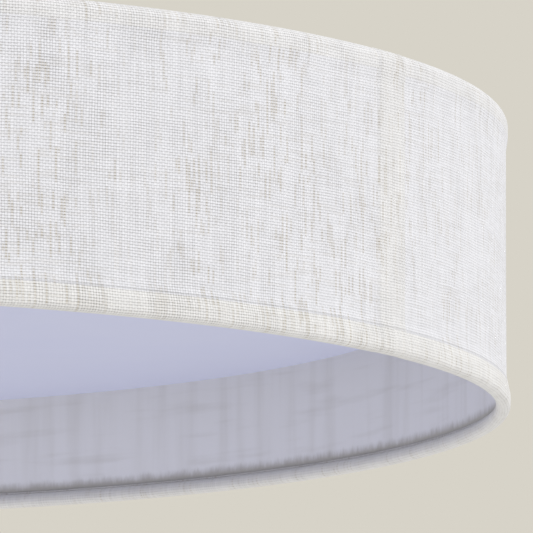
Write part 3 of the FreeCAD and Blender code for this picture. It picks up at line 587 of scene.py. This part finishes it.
def shade_path():
    """The outer face of the cloth, from its end tucked in the top rim, down the wall, to the bottom one."""
    inner = RIM_RADIUS - ROLL_WIDTH
    top_inner = TOP_RIM_RADIUS - ROLL_WIDTH
    tuck = WALL_RADIUS - CLOTH_THICKNESS - LINER_THICKNESS - TUCK_CLEARANCE
    top = [
        (tuck, TOP_Z - ROLL_HEIGHT, 0),
        (top_inner, TOP_Z - ROLL_HEIGHT, ROLL_CORNER),
        (top_inner, TOP_Z, ROLL_WIDTH - TOP_ROLL_CORNER),
        (TOP_RIM_RADIUS, TOP_Z, TOP_ROLL_CORNER),
        (TOP_RIM_RADIUS, TOP_Z - TOP_ROLL_END * ROLL_HEIGHT, TOP_ROLL_BEND),
        (WALL_RADIUS, TOP_Z - TOP_WALL_START * ROLL_HEIGHT, WALL_BEND),
    ]
    bottom = [
        (WALL_RADIUS, BOTTOM_Z + BOTTOM_WALL_START * ROLL_HEIGHT, WALL_BEND),
        (RIM_RADIUS, BOTTOM_Z + ROLL_HEIGHT, BOTTOM_ROLL_BEND),
        (RIM_RADIUS, BOTTOM_Z, ROLL_CORNER),
        (inner, BOTTOM_Z, ROLL_CORNER),
        (inner, BOTTOM_Z + ROLL_HEIGHT, ROLL_CORNER),
        (tuck, BOTTOM_Z + ROLL_HEIGHT, 0),
    ]
    return divided(rounded(top + bottom), CLOTH_RUN)


def seam_turns(segments):
    """Even shares of a turn, with close pairs at both edges of the lap, which is centred on the start."""
    half = SEAM_LAP / 2 / GIRTH
    crease = SEAM_CREASE / GIRTH
    extra = [half - crease, half + crease, 1 - half - crease, 1 - half + crease]
    return sorted(even_turns(segments) + extra)


def shade_swell(path, heights):
    """How far the cloth stands out at a point: the lap of the seam and slight waves of a hand-glued wall."""
    half_lap = SEAM_LAP / 2 / GIRTH
    height = TOP_Z - BOTTOM_Z
    last = 2 * len(path) - 1

    def swell(i, share):
        up = heights[min(i, last - i)] / height
        to_seam = min(share, 1 - share)
        step = SEAM_STEP if to_seam < half_lap else 0.0
        wave = sum(size * math.sin(2 * math.pi * number * share + phase) for number, size, phase in WAVES)
        on_wall = math.sin(math.pi * min(max(up, 0), 1)) ** 2
        return step + WAVE_HEIGHT * wave * on_wall

    return swell


def shade(material):
    """The linen, wrapped over both hoops."""
    path = shade_path()
    lengths = path_lengths(path)
    rim = max(i for i, point in enumerate(path) if point[0] > RIM_RADIUS - 0.01 * MM)
    heights = [lengths[rim] + ROLL_CORNER - here for here in lengths]
    inside = offset(path, -CLOTH_THICKNESS)[::-1]
    turns = seam_turns(SHADE_SEGMENTS)
    start = math.radians(SEAM_AZIMUTH)
    piece = turned("shade_linen", path + inside, turns, material, start, shade_swell(path, heights))
    write_cloth_place(piece, heights + heights[::-1], turns, WALL_RADIUS)
    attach(piece, "shade")
    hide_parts("shade_fabric")


def hoop(node, outer, middle_z, material):
    """A round wire hoop inside a rim's roll."""
    centre = outer - CLOTH_THICKNESS - HOOP_CLEARANCE - HOOP_RADIUS
    profile = []
    for k in range(HOOP_STEPS):
        turn = 2 * math.pi * k / HOOP_STEPS
        profile.append((centre + HOOP_RADIUS * math.cos(turn), middle_z + HOOP_RADIUS * math.sin(turn)))
    piece = turned(node + "_wire", profile, even_turns(SHADE_SEGMENTS // 3), material)
    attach(piece, "shade")
    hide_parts(node)


def liner(material):
    """The lining, glued to the inside of the linen."""
    outer = WALL_RADIUS - CLOTH_THICKNESS - LINER_GLUE
    inner = outer - LINER_THICKNESS
    low = BOTTOM_Z + ROLL_HEIGHT + LINER_END_GAP
    high = TOP_Z - ROLL_HEIGHT - LINER_END_GAP
    path = divided([(inner, low), (inner, high)], LINER_RUN)
    profile = path + [(outer, high), (outer, low)]
    turns = even_turns(SHADE_SEGMENTS // 2)
    start = math.radians(SEAM_AZIMUTH + LINER_SEAM_OFFSET)
    piece = turned("shade_lining", profile, turns, material, start)
    write_cloth_place(piece, [z - BOTTOM_Z for _, z in profile], turns, inner)
    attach(piece, "shade")
    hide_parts("shade_liner")


def diffuser(material):
    """The opal cup with a rounded edge."""
    inner_radius = DIFFUSER_RADIUS - DIFFUSER_WALL
    inner_z = DIFFUSER_FACE_Z + DIFFUSER_WALL
    outside = rounded([
        (DIFFUSER_RADIUS, DIFFUSER_TOP_Z, 0),
        (DIFFUSER_RADIUS, DIFFUSER_FACE_Z, DIFFUSER_BEND),
        (DIFFUSER_NEAR_CENTRE, DIFFUSER_FACE_Z, 0),
        (DIFFUSER_CENTRE, DIFFUSER_FACE_Z, 0),
    ], DIFFUSER_ARC_STEP)
    inside = rounded([
        (DIFFUSER_CENTRE, inner_z, 0),
        (DIFFUSER_NEAR_CENTRE, inner_z, 0),
        (inner_radius, inner_z, DIFFUSER_BEND - DIFFUSER_WALL),
        (inner_radius, DIFFUSER_TOP_Z, 0),
    ], DIFFUSER_ARC_STEP)
    profile = divided(outside + inside, DIFFUSER_RUN)
    piece = turned("diffuser_cup", profile, even_turns(DIFFUSER_SEGMENTS), material)
    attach(piece, "diffuser")
    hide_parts("diffuser")


# The fittings

def dress_nodes(zinc):
    """Materials for the fittings, whose solids are shown as they are."""
    spring = plated("spring_steel", (0.50, 0.51, 0.53), 0.30)
    brass = plated("brass", (0.72, 0.55, 0.25), 0.32)
    nickel = plated("nickel", (0.72, 0.70, 0.66), 0.24)
    aluminium = plated("aluminium", (0.78, 0.78, 0.79), 0.40)
    coat = powder_coat()
    board = moulded("board", (0.82, 0.82, 0.80), 0.35, 400.0)
    chip = moulded("chip", (0.80, 0.62, 0.14), 0.18, 300.0)
    connector = moulded("connector", (0.82, 0.81, 0.76), 0.45)
    lead = moulded("lead", (0.78, 0.78, 0.76), 0.40, 300.0)
    case = moulded("driver_case", (0.74, 0.74, 0.72), 0.55)
    circuit = moulded("circuit", (0.05, 0.19, 0.09), 0.30, 500.0)
    terminal = moulded("terminal", (0.76, 0.75, 0.70), 0.42)
    rubber = moulded("rubber", (0.035, 0.035, 0.036), 0.65)
    by_slot = {
        "white_steel": coat, "zinc_steel": zinc, "spring_steel": spring, "brass_screw": brass,
        "nickel": nickel, "board": board, "rivet": aluminium, "chip": chip, "connector": connector,
        "lead": lead, "driver_shell": case, "circuit": circuit, "terminal": terminal, "grommet": rubber,
    }
    slot_of = {row["node"]: row["material_slot"] for row in frame["record"]["subparts"]}
    for name, piece in frame["nodes"].items():
        material = by_slot.get(slot_of[name])
        if material is None:
            continue
        for place in piece.material_slots:
            place.material = material


# The studio

def camera():
    """A long lens, below the rim and looking up at the drum's right half."""
    data = bpy.data.cameras.new("camera")
    data.sensor_width = SENSOR_WIDTH
    data.lens = LENS_LENGTH
    data.clip_start = 0.1
    data.clip_end = 100.0
    made = bpy.data.objects.new("camera", data)
    made.location = CAMERA_PLACE
    made.rotation_euler = Euler((math.radians(90 + CAMERA_PITCH), 0, math.radians(-CAMERA_YAW)))
    bpy.context.collection.objects.link(made)
    bpy.context.scene.camera = made


def soft_light(name, azimuth, elevation, power):
    """A large soft lamp that faces the drum."""
    data = bpy.data.lights.new(name, "AREA")
    data.shape = "DISK"
    data.size = LAMP_SIZE
    data.energy = power
    made = bpy.data.objects.new(name, data)
    a, e = math.radians(azimuth), math.radians(elevation)
    away = Vector((math.cos(a) * math.cos(e), math.sin(a) * math.cos(e), math.sin(e)))
    made.location = away * LAMP_DISTANCE + Vector((0, 0, LAMP_TARGET_Z))
    made.rotation_euler = away.to_track_quat("Z", "Y").to_euler()
    made.visible_camera = False
    bpy.context.collection.objects.link(made)


def world():
    """Even light, and a plain pale ground behind the lamp."""
    made = bpy.data.worlds.new("studio")
    made.use_nodes = True
    nodes, links = made.node_tree.nodes, made.node_tree.links
    nodes.clear()
    out = nodes.new("ShaderNodeOutputWorld")
    mix = nodes.new("ShaderNodeMixShader")
    light = nodes.new("ShaderNodeBackground")
    ground = nodes.new("ShaderNodeBackground")
    path = nodes.new("ShaderNodeLightPath")
    seen = nodes.new("ShaderNodeMath")
    seen.operation = "MAXIMUM"
    light.inputs[0].default_value = (1.0, 1.0, 1.0, 1.0)
    light.inputs[1].default_value = SKY_STRENGTH
    ground.inputs[0].default_value = BACKGROUND + (1.0,)
    links.new(path.outputs["Is Camera Ray"], seen.inputs[0])
    links.new(path.outputs["Is Transmission Ray"], seen.inputs[1])
    links.new(seen.outputs[0], mix.inputs[0])
    links.new(light.outputs[0], mix.inputs[1])
    links.new(ground.outputs[0], mix.inputs[2])
    links.new(mix.outputs[0], out.inputs[0])
    bpy.context.scene.world = made


def floor():
    """A plain pale floor far below the lamp, see-through from underneath."""
    shader = Shader("floor")
    mottle = shader.noise(shader.place(), 3.0, 4.0)
    shader.set(Base_Color=shader.mix(mottle, FLOOR_SHADE, FLOOR_PALE), Roughness=0.9)
    glass = shader.node("ShaderNodeBsdfTransparent")
    side = shader.node("ShaderNodeNewGeometry")
    mix = shader.node("ShaderNodeMixShader")
    out = shader.tree.nodes["Material Output"]
    shader.tree.links.new(side.outputs["Backfacing"], mix.inputs[0])
    shader.tree.links.new(shader.bsdf.outputs[0], mix.inputs[1])
    shader.tree.links.new(glass.outputs[0], mix.inputs[2])
    shader.tree.links.new(mix.outputs[0], out.inputs[0])
    signs = ((-1, -1), (1, -1), (1, 1), (-1, 1))
    corners = [(x * FLOOR_HALF, y * FLOOR_HALF, FLOOR_Z) for x, y in signs]
    made = new_object("floor", corners, [(0, 1, 2, 3)], shader.material)


def main():
    """The dressed lamp, then the studio round it."""
    zinc = plated("zinc", (0.60, 0.60, 0.58), 0.38)
    dress_nodes(zinc)
    shade(linen())
    hoop("top_ring", TOP_RIM_RADIUS, TOP_Z - ROLL_HEIGHT / 2, zinc)
    hoop("bottom_ring", RIM_RADIUS, BOTTOM_Z + ROLL_HEIGHT / 2, zinc)
    liner(lining())
    diffuser(opal())
    camera()
    for name, (azimuth, elevation, power) in LAMPS.items():
        soft_light(name, azimuth, elevation, power)
    world()
    floor()
    bpy.context.scene.view_settings.view_transform = "Standard"


main()
